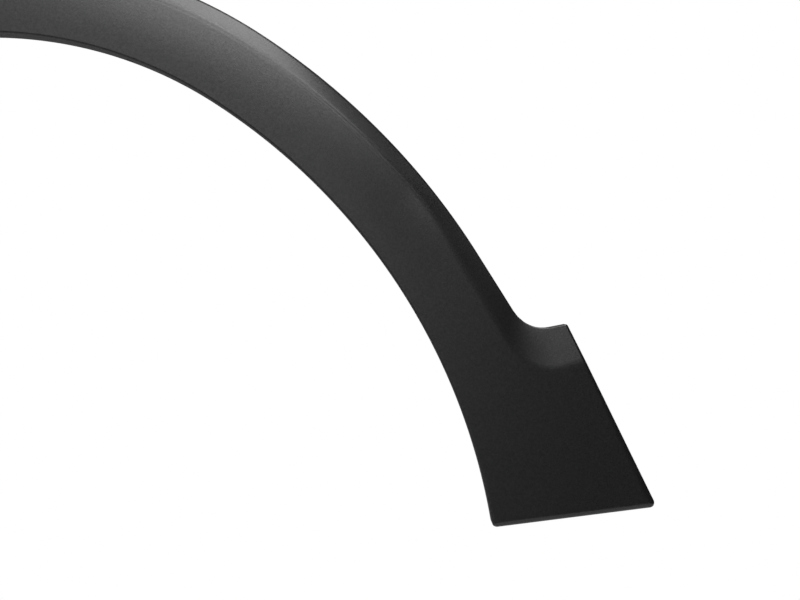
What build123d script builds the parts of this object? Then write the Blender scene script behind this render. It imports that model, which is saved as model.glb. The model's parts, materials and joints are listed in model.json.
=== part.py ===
from build123d import *
import math
import os

# Wheel arch trim of a car: a thin moulded band round the wheel opening, with a foot plate
# at the end of one leg and a row of push-in clips that hold it to the body panel.
#
# X runs along the car, Y into the car and Z up, in millimetres. The body panel is the plane
# Y = 0, and the trim stands in front of it, towards -Y. The origin is the seat of the top clip.
# Angles are in degrees from straight up, positive towards the foot plate.

# Wheel opening and band, in side elevation
crown_radius = 326.0       # inner edge over the top of the wheel
side_radius = 495.0        # inner edge down both legs
crown_angle = 32.6         # where the top arc runs into the side arcs
band_width = 66.0          # inner edge to rim
plain_end_angle = 74.0     # square end of the leg without a plate
straight_angle = 58.0      # from here to the foot plate the rim runs straight

# Foot plate: its corners are measured from the top of the wheel opening
foot_reach = 455.5         # top corner, along the car
foot_drop = 227.4          # top corner, downwards
foot_rise = 11.0           # slope of the top edge
foot_lean = 26.15          # lean of the outer edge from upright
foot_fillet = 28.0         # hollow corner between rim and top edge
heel_reach = 397.0         # lower corner beside the wheel, along the car
heel_drop = 386.6          # lower corner beside the wheel, downwards
sole_slope = 7.18          # slope of the bottom edge

# Section of the moulding
stand_off = 24.0           # front of the face, ahead of the body panel
wall = 2.8
rim_height = 2.2           # blunt edge where the bevel ends
arch_bevel = 14.3          # width of the bevel along the arch
foot_bevel = 30.0          # width of the shallow bevel along the top of the foot plate
foot_bevel_fall = 2.6      # how far that bevel falls
crown_flat = 8.0           # level strip of the face beside the inner edge
crown_fall = 3.0           # how far the crowned face has fallen at the crease
foot_fall = 0.6            # how far the face of the foot plate has fallen at its outer corner
fade_start = 50.0          # the crown starts to fade out here
fade_end = 64.0            # the face is nearly level from here on
flange_tail = 4.0          # return flange, past the body panel
edge_radius = 3.0          # rounding along the front edges
corner_radius = 4.0        # rounding of the corners in elevation

# Retaining clips and the towers that hold them
clip_line = 33.0           # row of clips, from the inner edge
plate_clip_inset = 22.0    # the clip in the foot plate, from its outer edge
plate_clip_share = 0.46    # and how far down that edge, as a share of it
crown_clip_angles = (-26.0, 0.0, 26.0)
plain_clip_angles = (44.0, 57.0, 69.0)
foot_clip_angles = (44.0, 60.0, 76.0)
head_side = 14.4           # square head, which can't turn in its tower
head_thickness = 1.6
neck_radius = 3.4
washer_radius = 8.6
washer_thickness = 1.6
washer_edge = 0.6          # thickness left at the washer's rim
blade_thickness = 1.8
stem_radius = 2.9
stem_length = 15.0
barb_radius = 4.4
barb_count = 3
panel_room = 2.6           # plain stem between washer and barbs, for the body panel
tip_radius = 1.6
seat_clearance = 0.3       # above and below the tower's plate, and round the neck
head_room = 0.8            # round the head inside a tower
tower_wall = 1.8
plate_thickness = 2.0

# Ribs and holes
rib_thickness = 1.6
rib_line = 13.0            # top of the ribs, ahead of the body panel
crown_rib_angles = (-13.0, 13.0)
plain_rib_angles = (38.0, 51.0, 63.0)
foot_rib_angles = (38.0, 52.0, 67.5, 79.0)
hole_radius = 3.25         # screw holes in the return flange, for the wheel liner
hole_line = 8.5            # row of holes, ahead of the body panel
crown_hole_angles = (-20.0, 20.0)
plain_hole_angles = (47.5, 66.0)
foot_hole_angles = (47.5, 64.0)

# Cutting blocks run this far past the shape that they cut
overlap = 6.0

# How far a face turns to the front, from 0 on an upright wall to 1 on a level face
wall_turn = 0.01
face_turn = 0.9
# And how far a wall looks up: the top wall of the foot plate looks up more than this and stays sharp
up_turn = 0.5


def polar(center, radius, angle):
    """Point at a radius and an angle from straight up."""
    turn = math.radians(angle)
    return (center[0] + radius * math.sin(turn), center[1] + radius * math.cos(turn))


def meet(first, first_slope, second, second_slope):
    """Point where two lines meet, each given by a point and a slope in degrees."""
    a = math.radians(first_slope)
    b = math.radians(second_slope)
    gap_x = second[0] - first[0]
    gap_z = second[1] - first[1]
    run = (gap_x * math.sin(b) - gap_z * math.cos(b)) / math.sin(b - a)
    return (first[0] + run * math.cos(a), first[1] + run * math.sin(a))


# Places that follow from the driving sizes, as (X, Z) in elevation
far = side_radius + crown_radius
opening_top = -clip_line
crown_center = (0, opening_top - crown_radius)
foot_center = polar(crown_center, crown_radius - side_radius, crown_angle)
plain_center = (-foot_center[0], foot_center[1])
foot_corner = (foot_reach, opening_top - foot_drop)
heel = (heel_reach, opening_top - heel_drop)
toe = meet(foot_corner, 90 + foot_lean, heel, sole_slope)
toe_line = math.dist(toe, foot_center) - side_radius
plate_clip_edge = [top + plate_clip_share * (low - top) for top, low in zip(foot_corner, toe)]
plate_clip_place = polar(plate_clip_edge, -plate_clip_inset, 90 - foot_lean)
crown_arc = (crown_center, crown_radius)
foot_arc = (foot_center, side_radius)
plain_arc = (plain_center, side_radius)
places = {"clip": [], "rib": [], "hole": []}
for kind, crown_list, plain_list, foot_list in (
    ("clip", crown_clip_angles, plain_clip_angles, foot_clip_angles),
    ("rib", crown_rib_angles, plain_rib_angles, foot_rib_angles),
    ("hole", crown_hole_angles, plain_hole_angles, foot_hole_angles),
):
    places[kind] += [(*crown_arc, angle) for angle in crown_list]
    places[kind] += [(*plain_arc, -angle) for angle in plain_list]
    places[kind] += [(*foot_arc, angle) for angle in foot_list]


def radial_plane(center, angle):
    """Section plane: local X points away from the wheel and local Y out of the car."""
    turn = math.radians(angle)
    return Plane(
        (center[0], 0, center[1]),
        x_dir=(math.sin(turn), 0, math.cos(turn)),
        z_dir=(math.cos(turn), 0, -math.sin(turn)),
    )


def seat_plane(center, radius, angle):
    """Seat on the body panel: local X points away from the wheel and local Z into the car."""
    turn = math.radians(angle)
    x, z = polar(center, radius, angle)
    return Plane((x, 0, z), x_dir=(math.sin(turn), 0, math.cos(turn)), z_dir=(0, 1, 0))


def arch_arcs(shift, first_angle, last_angle):
    """Three tangent arcs, a distance outside the inner edge; returns their two ends."""
    side = side_radius + shift
    crown = crown_radius + shift
    start = polar(plain_center, side, -first_angle)
    plain_joint = polar(plain_center, side, -crown_angle)
    foot_joint = polar(foot_center, side, crown_angle)
    stop = polar(foot_center, side, last_angle)
    ThreePointArc(start, polar(plain_center, side, -(first_angle + crown_angle) / 2), plain_joint)
    ThreePointArc(plain_joint, polar(crown_center, crown, 0), foot_joint)
    ThreePointArc(foot_joint, polar(foot_center, side, (last_angle + crown_angle) / 2), stop)
    return start, stop


def rim_region(height, arch_inset, foot_inset):
    """Everything inside the rim line, which is moved in along the arch and the foot plate."""
    slope = math.radians(foot_rise)
    top_point = (
        foot_corner[0] + foot_inset * math.sin(slope),
        foot_corner[1] - foot_inset * math.cos(slope),
    )
    tangent = polar(foot_center, side_radius + band_width - arch_inset, straight_angle)
    corner = meet(tangent, -straight_angle, top_point, foot_rise)
    with BuildSketch(Plane.XZ.offset(height)) as region:
        with BuildLine():
            start, stop = arch_arcs(band_width - arch_inset, plain_end_angle + overlap, straight_angle)
            top_end = meet(top_point, foot_rise, (far, 0), 90)
            Polyline(stop, corner, top_end, (far, -far), (-far, -far), start)
        make_face()
        hollow = region.vertices().sort_by_distance(corner)[0]
        fillet(hollow, foot_fillet + (arch_inset + foot_inset) / 2)
    return region.sketch


def wheel_region(grow):
    """The wheel opening, grown by a distance."""
    with BuildSketch(Plane.XZ) as region:
        with BuildLine():
            start, stop = arch_arcs(grow, plain_end_angle + overlap, 90)
            Polyline(stop, (stop[0], -far), (start[0], -far), start)
        make_face()
    return region.sketch


def end_region(inset):
    """Field bounded by the plain end, the sole and the outer edge of the foot plate."""
    above = 2 * band_width
    top = meet(foot_corner, 90 + foot_lean, (0, above), 0)
    sole_end = meet(heel, sole_slope, (heel_reach - band_width, 0), 90)
    end_outside = polar(plain_center, side_radius + 2 * band_width, -plain_end_angle)
    end_inside = polar(plain_center, side_radius - band_width, -plain_end_angle)
    with BuildSketch(Plane.XZ) as region:
        with BuildLine():
            Polyline(toe, top, (-far, above), end_outside, end_inside, sole_end, close=True)
        make_face()
        if inset > 0:
            offset(amount=-inset, kind=Kind.INTERSECTION, mode=Mode.REPLACE)
    return region.sketch


def elevation(inset, round_corners=False):
    """Outline of the trim in elevation; the inset leaves the rim where it is."""
    inside_rim = rim_region(0, 0, 0)
    wheel = wheel_region(inset)
    ends = end_region(inset)
    plain_corners = [
        polar(plain_center, side_radius + line, -plain_end_angle) for line in (0, band_width)
    ]
    with BuildSketch(Plane.XZ) as outline:
        add(inside_rim)
        add(wheel, mode=Mode.SUBTRACT)
        add(ends, mode=Mode.INTERSECT)
        if round_corners:
            corners = [toe, heel] + plain_corners
            fillet([outline.vertices().sort_by_distance(spot)[0] for spot in corners], corner_radius)
    return outline.sketch


def bevel_block(inset):
    """Block whose slanted side is the bevel: steep down to the rim along the arch, and a shallow
    fall to the top of an upright wall along the foot plate. The outer wall itself is cut by the
    outline, so without an inset the shallow fall runs on past it."""
    arch_run = arch_bevel / (stand_off - crown_fall - rim_height)
    foot_run = foot_bevel / foot_bevel_fall
    wall_line = inset if inset > 0 else -wall
    wall_top = stand_off - foot_bevel_fall + (wall_line - inset * math.hypot(1, foot_run)) / foot_run
    levels = []
    for height in (0, wall_top, stand_off + wall):
        arch_inset = (height - rim_height) * arch_run + inset * math.hypot(1, arch_run)
        foot_inset = wall_line + max(height - wall_top, 0) * foot_run
        levels.append(rim_region(height, arch_inset, foot_inset))
    with BuildPart() as block:
        loft(levels, ruled=True, clean=False)
    return block.part


def face_section(center, radius, angle, fade, inset):
    """Section under the face: level at first, then falling away on an arc that fades out."""
    arch_line = band_width + 2 * overlap
    plate_line = toe_line + 2 * overlap
    bend = (band_width - arch_bevel - crown_flat) ** 2 / (2 * crown_fall)
    arch_fall = bend - math.sqrt(bend ** 2 - (arch_line - crown_flat) ** 2)
    line = arch_line + (plate_line - arch_line) * fade
    fall = arch_fall + (foot_fall - arch_fall) * fade
    run = line - crown_flat
    arc_radius = (run ** 2 + fall ** 2) / (2 * fall)
    middle_fall = arc_radius - math.sqrt(arc_radius ** 2 - (run / 2) ** 2)
    top = stand_off - inset
    inner = radius - 2 * overlap
    bend_start = radius + crown_flat
    outer = radius + line
    with BuildSketch(radial_plane(center, angle)) as section:
        with BuildLine():
            Polyline((bend_start, top), (inner, top), (inner, -overlap), (outer, -overlap), (outer, top - fall))
            ThreePointArc((outer, top - fall), (bend_start + run / 2, top - middle_fall), (bend_start, top))
        make_face()
    return section.sketch


def face_block(inset):
    """Block whose front is the crowned face: swept round the arch, then faded into the foot plate."""
    spans = []
    for center, radius, start, stop, fade in (
        (*plain_arc, -plain_end_angle - overlap, -crown_angle, 0),
        (*crown_arc, -crown_angle, crown_angle, 0),
        (*foot_arc, crown_angle, fade_start, 0),
        (*foot_arc, fade_end, 90, 1),
    ):
        spans.append((face_section(center, radius, start, fade, inset), center, stop - start))
    fade_steps = 4
    fading = []
    for step in range(fade_steps + 1):
        share = step / fade_steps
        angle = fade_start + (fade_end - fade_start) * share
        fading.append(face_section(*foot_arc, angle, share * share * (3 - 2 * share), inset))
    with BuildPart() as block:
        for section, center, sweep_angle in spans:
            revolve(section.faces(), axis=Axis((center[0], 0, center[1]), (0, 1, 0)), revolution_arc=sweep_angle)
        loft(fading)
    return block.part


def filled_body(inset, rounded=False):
    """The trim as if it were solid, moved in by an inset, with its front edges rounded or sharp."""
    outline = elevation(inset, round_corners=rounded)
    face = face_block(inset)
    bevel = bevel_block(inset)
    with BuildPart() as body:
        extrude(outline, amount=stand_off + overlap / 2, dir=(0, -1, 0))
        add(face, mode=Mode.INTERSECT)
        add(bevel, mode=Mode.INTERSECT)
        if rounded:
            walls = body.faces().filter_by(lambda side: abs(side.normal_at().Y) < wall_turn)
            walls = walls.filter_by(lambda side: side.normal_at().Z < up_turn)
            fronts = body.faces().filter_by(lambda side: side.normal_at().Y < -face_turn)
            fillet(walls.edges() & fronts.edges(), edge_radius)
    return body.part


# Clip seats, and the levels of a clip and of its tower ahead of the body panel
seats = [seat_plane(center, radius + clip_line, angle) for center, radius, angle in places["clip"]]
seats.append(seat_plane(plate_clip_place, 0, 90 - foot_lean))
plate_level = washer_thickness + seat_clearance
head_level = plate_level + plate_thickness + seat_clearance

# Moulding: shell, return flange, clip towers, ribs and screw holes
rounded_body = filled_body(0, rounded=True)
hollow_body = filled_body(wall)
fitting_body = filled_body(wall / 2)
flange_outline = elevation(0, round_corners=True)
flange_inside = wheel_region(wall)
pocket = head_side + 2 * head_room
tower = pocket + 2 * tower_wall

with BuildPart() as clip_tower:
    with BuildSketch(Plane.XY.offset(-plate_level)):
        Rectangle(tower, tower)
    extrude(amount=-stand_off)
    with BuildSketch(Plane.XY.offset(-plate_level - plate_thickness)):
        with Locations((0, tower_wall)):
            Rectangle(pocket, tower)
    extrude(amount=-stand_off, mode=Mode.SUBTRACT)
    with BuildSketch(Plane.XY.offset(-plate_level)):
        Circle(neck_radius + seat_clearance)
        with Locations((0, tower / 2)):
            Rectangle(2 * (neck_radius + seat_clearance), tower)
    extrude(amount=-plate_thickness, mode=Mode.SUBTRACT)

with BuildPart() as fittings:
    for center, radius, angle in places["rib"]:
        with BuildSketch(radial_plane(center, angle)):
            with Locations((radius + toe_line / 2, (rib_line + stand_off) / 2)):
                Rectangle(toe_line, stand_off - rib_line)
    extrude(amount=rib_thickness / 2, both=True)
    with Locations(*seats):
        add(clip_tower.part)
    add(fitting_body, mode=Mode.INTERSECT)

with BuildPart() as flange_holes:
    for center, radius, angle in places["hole"]:
        section = radial_plane(center, angle)
        mouth = section.from_local_coords(Vector(radius - overlap, hole_line))
        with BuildSketch(Plane(mouth, z_dir=section.x_dir)):
            Circle(hole_radius)
    extrude(amount=wall + 2 * overlap)

with BuildPart() as trim_moulding:
    add(rounded_body)
    add(hollow_body, mode=Mode.SUBTRACT)
    with BuildSketch(Plane.XZ):
        add(flange_outline)
        add(flange_inside, mode=Mode.INTERSECT)
    extrude(amount=-flange_tail)
    add(fittings.part)
    add(flange_holes.part, mode=Mode.SUBTRACT)

# Push-in clips: head and neck in the tower, washer on the panel, two crossed barbed blades through it
turned = [
    (0, -head_level),
    (neck_radius, -head_level),
    (neck_radius, -washer_thickness),
    (washer_radius, -washer_edge),
    (washer_radius, 0),
    (0, 0),
]
barb_pitch = (stem_length - panel_room) / (barb_count + 1)
blade_edge = [(stem_radius, -washer_thickness / 2)]
for barb in range(barb_count):
    base = panel_room + barb * barb_pitch
    blade_edge += [(stem_radius, base), (barb_radius, base + barb_pitch / 4)]
blade_edge += [(stem_radius, stem_length - barb_pitch), (tip_radius, stem_length)]
blade = blade_edge + [(-across, along) for across, along in reversed(blade_edge)]

with BuildPart() as clip:
    with BuildSketch(Plane.XZ):
        with BuildLine():
            Polyline(*turned, close=True)
        make_face()
    revolve(axis=Axis.Z)
    with BuildSketch(Plane.XY.offset(-head_level)):
        Rectangle(head_side, head_side)
    extrude(amount=-head_thickness)
    for side in (Plane.XZ, Plane.YZ):
        with BuildSketch(side):
            with BuildLine():
                Polyline(*blade, close=True)
            make_face()
    extrude(amount=blade_thickness / 2, both=True)

with BuildPart() as retaining_clips:
    with Locations(*seats):
        add(clip.part)

os.makedirs("parts", exist_ok=True)
trim_moulding.part.label = "trim_moulding"
export_step(trim_moulding.part, "parts/trim_moulding.step")
retaining_clips.part.label = "retaining_clips"
export_step(retaining_clips.part, "parts/retaining_clips.step")
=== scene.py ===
# %% [markdown]
# # Wheel arch trim
# A wheel arch trim is one long black moulding that covers the edge of a car's body panel round the wheel.
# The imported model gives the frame: every size and place below is in the same axes, with X along the car,
# Y into the car and Z up. The body panel is the plane Y = 0, and the trim stands in front of it, towards -Y.
# Each piece is worked out as whole arrays and put into a mesh at the origin, so it lies exactly where the
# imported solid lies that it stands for.

# %% Load the frame
import json

import bmesh
import bpy
import numpy as np
from mathutils import Matrix

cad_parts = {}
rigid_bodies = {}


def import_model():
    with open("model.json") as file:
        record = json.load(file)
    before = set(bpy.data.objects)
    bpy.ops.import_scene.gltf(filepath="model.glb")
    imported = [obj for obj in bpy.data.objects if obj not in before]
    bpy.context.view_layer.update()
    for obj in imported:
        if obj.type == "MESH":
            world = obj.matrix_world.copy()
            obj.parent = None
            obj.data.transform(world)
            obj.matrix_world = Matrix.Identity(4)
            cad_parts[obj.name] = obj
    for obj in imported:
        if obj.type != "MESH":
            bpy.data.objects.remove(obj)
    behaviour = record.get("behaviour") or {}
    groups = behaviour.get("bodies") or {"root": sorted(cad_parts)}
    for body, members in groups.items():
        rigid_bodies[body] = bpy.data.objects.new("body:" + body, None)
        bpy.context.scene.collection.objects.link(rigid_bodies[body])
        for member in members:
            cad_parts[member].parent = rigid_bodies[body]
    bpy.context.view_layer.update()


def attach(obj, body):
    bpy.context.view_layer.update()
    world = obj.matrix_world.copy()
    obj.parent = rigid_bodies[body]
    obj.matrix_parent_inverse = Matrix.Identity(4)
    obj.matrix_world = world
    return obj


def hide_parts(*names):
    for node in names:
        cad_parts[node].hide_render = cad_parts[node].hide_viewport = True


for leftover in list(bpy.data.objects):
    bpy.data.objects.remove(leftover)
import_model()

# %% [markdown]
# ## Sizes in elevation
# The drawing of the part is in millimetres, so the shape is worked out in millimetres and turned into metres
# when it becomes a mesh. Angles are in degrees from straight up, positive towards the foot plate. Seen from the
# front, the wheel opening is three arcs that run smoothly into each other: one over the wheel and a wider one
# down each leg. Arcs that touch have their centres in line with the joint, which gives the two side centres.

# %% Sizes in elevation
MM = 0.001
OPENING_TOP = -33.0  # top of the wheel opening, below the seat of the top clip
CROWN_RADIUS = 326.0  # wheel opening over the wheel
SIDE_RADIUS = 495.0  # wheel opening down the legs
CROWN_ANGLE = 32.6  # where these arcs join
BAND_WIDTH = 66.0
PLAIN_END_ANGLE = 74.0  # cut end of the plain leg
STRAIGHT_ANGLE = 58.0  # where the rim of the foot leg becomes straight
FOOT_RISE = 11.0  # slope of the foot plate's top edge
FOOT_LEAN = 26.15  # lean of its outer edge
SOLE_SLOPE = 7.18  # slope of its sole
FOOT_FILLET = 28.0  # hollow corner between leg and foot plate
FOOT_CORNER = np.array([455.5, OPENING_TOP - 227.4])
HEEL = np.array([397.0, OPENING_TOP - 386.6])


def heading(angle):
    """Unit vector at an angle from straight up: (sine, cosine)."""
    turn = np.radians(angle)
    return np.stack([np.sin(turn), np.cos(turn)], axis=-1)


CROWN_CENTER = np.array([0.0, OPENING_TOP - CROWN_RADIUS])
FOOT_CENTER = CROWN_CENTER - (SIDE_RADIUS - CROWN_RADIUS) * heading(CROWN_ANGLE)
PLAIN_CENTER = FOOT_CENTER * (-1, 1)
PLAIN_ARC = PLAIN_CENTER, SIDE_RADIUS
CROWN_ARC = CROWN_CENTER, CROWN_RADIUS
FOOT_ARC = FOOT_CENTER, SIDE_RADIUS
print("arc centres", PLAIN_CENTER.round(1), CROWN_CENTER.round(1), FOOT_CENTER.round(1))

# %% [markdown]
# ## Straight edges
# Four edges of the outline are straight: the plain end, the sole, the leaning edge of the foot plate and its
# top edge. So is the rim at the foot of the leg. A straight edge is kept as its outward direction and its
# distance from the origin, because then "how far inside the edge is this point" is one product, and moving the
# edge in is one subtraction.

# %% Straight edges as outward direction and distance
def edge_through(point, outward_angle):
    """Straight edge: its outward unit vector, and the product of that vector with a point on the edge."""
    outward = heading(outward_angle)
    return outward, float(np.dot(outward, point))


def past_edge(points, edge):
    """Distance of points beyond a straight edge, negative inside it: outward . point - distance."""
    return points @ edge[0] - edge[1]


def meet(first, second, first_inset=0.0, second_inset=0.0):
    """Where two straight edges meet after each is moved in: two equations, outward . point = distance - inset."""
    directions = np.array([first[0], second[0]])
    return np.linalg.solve(directions, [first[1] - first_inset, second[1] - second_inset])


END_EDGE = edge_through(PLAIN_CENTER, -PLAIN_END_ANGLE - 90)
SOLE_EDGE = edge_through(HEEL, 180 - SOLE_SLOPE)
LEAN_EDGE = edge_through(FOOT_CORNER, 90 - FOOT_LEAN)
TOP_EDGE = edge_through(FOOT_CORNER, -FOOT_RISE)
LEG_EDGE = edge_through(FOOT_CENTER + (SIDE_RADIUS + BAND_WIDTH) * heading(STRAIGHT_ANGLE), STRAIGHT_ANGLE)
TOE = meet(LEAN_EDGE, SOLE_EDGE)
TOE_LINE = np.linalg.norm(TOE - FOOT_CENTER) - SIDE_RADIUS
print("toe", TOE.round(1), "is", TOE_LINE.round(1), "outside the wheel opening")

# %% [markdown]
# ## The two surfaces of the front
# The front of the moulding is made of two surfaces: a crowned face, and a bevel that runs from the face down to
# the rim. Each is a height in front of the body panel, as a function of the place in elevation, so the crease
# between them can be softened by one formula. Both depend on which arc a point belongs to and how far out it lies.

# %% Which arc a point belongs to, and its distance from the wheel opening
FAR = 999.0  # a distance that never counts
NOT_ON_FOOT = -90.0  # angle given to points of the other two arcs


def band_place(points):
    """Side of the arch (-1 plain, 0 crown, 1 foot), distance outside the inner edge, and angle on the foot arc.

    The side goes by the angle at the crown's centre. The distance is that from the arc's centre, less the radius."""
    from_crown, from_foot = points - CROWN_CENTER, points - FOOT_CENTER
    crown_turn = np.degrees(np.arctan2(from_crown[..., 0], from_crown[..., 1]))
    foot_turn = np.degrees(np.arctan2(from_foot[..., 0], from_foot[..., 1]))
    side = np.where(np.abs(crown_turn) <= CROWN_ANGLE, 0, np.sign(crown_turn))
    crown_line = np.linalg.norm(from_crown, axis=-1) - CROWN_RADIUS
    foot_line = np.linalg.norm(from_foot, axis=-1) - SIDE_RADIUS
    plain_line = np.linalg.norm(points - PLAIN_CENTER, axis=-1) - SIDE_RADIUS
    line = np.where(side == 0, crown_line, np.where(side > 0, foot_line, plain_line))
    return side, line, np.where(side > 0, foot_turn, NOT_ON_FOOT)


print("middle of the crown", band_place(CROWN_CENTER + (CROWN_RADIUS + BAND_WIDTH / 2) * heading(0.0)))

# %% [markdown]
# ## The crowned face
# Beside the wheel opening the face is level. From there it falls towards the bevel on a flat arc, and on the foot
# plate it hardly falls. A level face would be simpler, but it would have nearly one tone across the band.

# %% Height of the crowned face
STAND_OFF = 24.0  # level part of the face ahead of the body panel
ARCH_BEVEL = 14.3  # width of the bevel along the arch
CROWN_FLAT = 8.0  # width of the level strip
CROWN_FALL = 3.0  # fall of the face from there to the bevel
FOOT_FALL = 0.6  # fall of the face across the foot plate
FADE_START, FADE_END = 50.0, 64.0  # angles between which the crown fades into the foot plate
FACE_OVERRUN = 12.0  # how far past the rim the face is carried on


def eased(share):
    """Soft step from 0 to 1: three times the square less twice the cube."""
    share = np.clip(share, 0, 1)
    return share * share * (3 - 2 * share)


def face_height(points):
    """Level beside the inner edge, then falling on an arc whose radius grows as the crown fades into the foot.

    fall = R - root(R squared - x squared), with x the distance past the level strip."""
    _, line, foot_turn = band_place(points)
    fade = eased((foot_turn - FADE_START) / (FADE_END - FADE_START))
    bend = (BAND_WIDTH - ARCH_BEVEL - CROWN_FLAT) ** 2 / (2 * CROWN_FALL)
    arch_run, foot_run = BAND_WIDTH + FACE_OVERRUN - CROWN_FLAT, TOE_LINE + FACE_OVERRUN - CROWN_FLAT
    arch_fall = bend - np.sqrt(bend ** 2 - arch_run ** 2)
    run = arch_run + (foot_run - arch_run) * fade
    fall = arch_fall + (FOOT_FALL - arch_fall) * fade
    radius = (run ** 2 + fall ** 2) / (2 * fall)
    reach = np.clip(line - CROWN_FLAT, 0, run)
    return STAND_OFF - radius + np.sqrt(radius ** 2 - reach ** 2)


trial_lines = np.array([0.0, BAND_WIDTH / 2, BAND_WIDTH - ARCH_BEVEL, BAND_WIDTH])
trial = PLAIN_CENTER + (SIDE_RADIUS + trial_lines)[:, None] * heading(-50.0)
print("face across the plain leg", face_height(trial).round(2))

# %% [markdown]
# ## Beside the rim
# The bevel is measured from the rim. Along the arch the rim is an arc, at the foot of the leg and along the top
# of the foot plate it is straight, and between those two it turns through a round hollow corner. One function
# gives the distance inside all of them, and says how far round the hollow corner a point is. So the bevel can be
# one surface without a seam.

# %% Place beside the rim
HOLLOW_CENTER = meet(LEG_EDGE, TOP_EDGE, -FOOT_FILLET, -FOOT_FILLET)
HOLLOW_START = HOLLOW_CENTER - FOOT_FILLET * LEG_EDGE[0]
DOWN_LEG = np.array([LEG_EDGE[0][1], -LEG_EDGE[0][0]])


def rim_place(points, arch_inset=0.0, foot_inset=0.0):
    """Distance inside the rim line, way left along the leg to the hollow corner, and share of the turn round it.

    Leg and top edge meet in a hollow corner. There the distance is that to the fillet's centre, less the radius.
    A point is in the corner if it is a sum of the two inward directions with positive shares."""
    _, line, foot_turn = band_place(points)
    on_foot = foot_turn > FADE_START
    leg = np.where(foot_turn > STRAIGHT_ANGLE, -past_edge(points, LEG_EDGE), BAND_WIDTH - line) - arch_inset
    top = -past_edge(points, TOP_EDGE) - foot_inset
    radius = FOOT_FILLET + (arch_inset + foot_inset) / 2
    away = points - meet(LEG_EDGE, TOP_EDGE, arch_inset - radius, foot_inset - radius)
    shares = -away @ np.linalg.inv(np.array([LEG_EDGE[0], TOP_EDGE[0]]))
    hollow = (shares[..., 0] > 0) & (shares[..., 1] > 0)
    joined = np.where(hollow, np.linalg.norm(away, axis=-1) - radius, np.maximum(leg, top))
    way = np.where(foot_turn > CROWN_ANGLE, (HOLLOW_START - points) @ DOWN_LEG, FAR)
    turned = STRAIGHT_ANGLE - np.degrees(np.arctan2(-away[..., 0], -away[..., 1]))
    share = np.where(on_foot, turned / (STRAIGHT_ANGLE + FOOT_RISE), 0.0)
    return np.where(on_foot, joined, leg), way, np.clip(share, 0, 1)


print("inside the rim", rim_place(trial)[0].round(2))

# %% [markdown]
# ## The bevel
# Along the arch the bevel falls steeply to a low rim. Down the foot leg it eases into a shallow one, so the rim
# climbs, and round the hollow corner it widens into the top of the foot plate. Its section swells a little, so its
# tone can change from crease to rim. Three bevels could be joined instead, but the joints would show in the gloss.

# %% Height of the bevel
RIM_HEIGHT = 2.2  # rim of the arch ahead of the body panel
LEG_BEVEL, LEG_BEVEL_FALL = 15.8, 5.2  # width and fall at the foot of the leg
FOOT_BEVEL, FOOT_BEVEL_FALL = 33.5, 4.9  # width and fall along the top of the foot plate
EASE_LENGTH = 230.0  # way along the leg over which the bevel becomes shallow
BEVEL_SWELL = 0.03  # swell of its section, as a share of its width
ARCH_SLOPE = (STAND_OFF - CROWN_FALL - RIM_HEIGHT) / ARCH_BEVEL


def bevel_course(points):
    """Distance inside the rim line, level and slope of the bevel at the rim there, and how far it swells.

    Level and slope go from the arch's to the leg's and the foot's by soft steps. swell = 4 x (1 - x) of its share
    of the width, with x the distance inside the rim over the width, and it runs on straight past the crease."""
    depth, way, turned = rim_place(points)
    ease, widened = eased(1 - way / EASE_LENGTH), eased(turned)
    width = LEG_BEVEL + (FOOT_BEVEL - LEG_BEVEL) * widened
    fall = LEG_BEVEL_FALL + (FOOT_BEVEL_FALL - LEG_BEVEL_FALL) * widened
    level = RIM_HEIGHT + (STAND_OFF - fall - RIM_HEIGHT) * ease
    slope = ARCH_SLOPE + (fall / width - ARCH_SLOPE) * ease
    across = depth / width
    bow = np.where(across < 1, 4 * across * (1 - across), 4 * (1 - across))
    return depth, level, slope, BEVEL_SWELL * width * (1 - widened) * bow


def bevel_height(points, inset):
    """Level at the rim plus the slope times the distance inside it, less the inset measured upright."""
    depth, level, slope, swell = bevel_course(points)
    return level + slope * (depth + swell) - inset * np.hypot(1, slope)


def rim_insets(inset):
    """How far a skin's own rim lies inside the outline, along the arch and along the foot plate.

    Along the arch it is where the moved bevel meets the panel: its drop less the rim's height, over the slope."""
    return max(inset * np.hypot(1, ARCH_SLOPE) - RIM_HEIGHT, 0.0) / ARCH_SLOPE, inset


print("bevel across the plain leg", bevel_height(trial, 0.0).round(2))

# %% [markdown]
# ## The outline
# In elevation the outline is a chain of arcs and straight runs, with small round corners. Front and back of the
# wall have the same outline, one wall apart, so one function makes both. A corner's circle is found by moving
# its two edges in by the radius. The outline is cut into four sides at the middle of its four end corners, so
# that the surface between them can be a grid: rows run across the band, and columns run along it.

# %% Arcs, round corners and chains
ARC_SPACING = 0.2


def arc(center, radius, start, stop):
    """Points on an arc between two angles from straight up, a spacing apart."""
    count = max(int(abs(np.radians(stop - start)) * radius / ARC_SPACING), 2) + 1
    return center + radius * heading(np.linspace(start, stop, count))


def turn_of(vector):
    """Angle of a vector from straight up, in degrees."""
    return np.degrees(np.arctan2(vector[0], vector[1]))


def corner_arc(corner, radius, start, stop):
    """Round corner from one outward direction to the other, the short way."""
    turn = (stop - start + 180) % 360 - 180
    return arc(corner, radius, start, start + turn)


def halves(points):
    """A corner cut at its middle point."""
    middle = len(points) // 2
    return points[: middle + 1], points[middle:]


def along(chain, lengths):
    """Points at given lengths along a chain of points."""
    steps = np.linalg.norm(np.diff(chain, axis=0), axis=1)
    travelled = np.concatenate([[0.0], np.cumsum(steps)])
    return np.stack([np.interp(lengths, travelled, chain[:, axis]) for axis in (0, 1)], axis=-1)


def length_of(chain):
    """Length of a chain of points: the sum of its steps."""
    return float(np.sum(np.linalg.norm(np.diff(chain, axis=0), axis=1)))


LEAN_LENGTH = length_of(np.stack([TOE, FOOT_CORNER]))
print("leaning edge", round(LEAN_LENGTH, 1))

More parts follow.
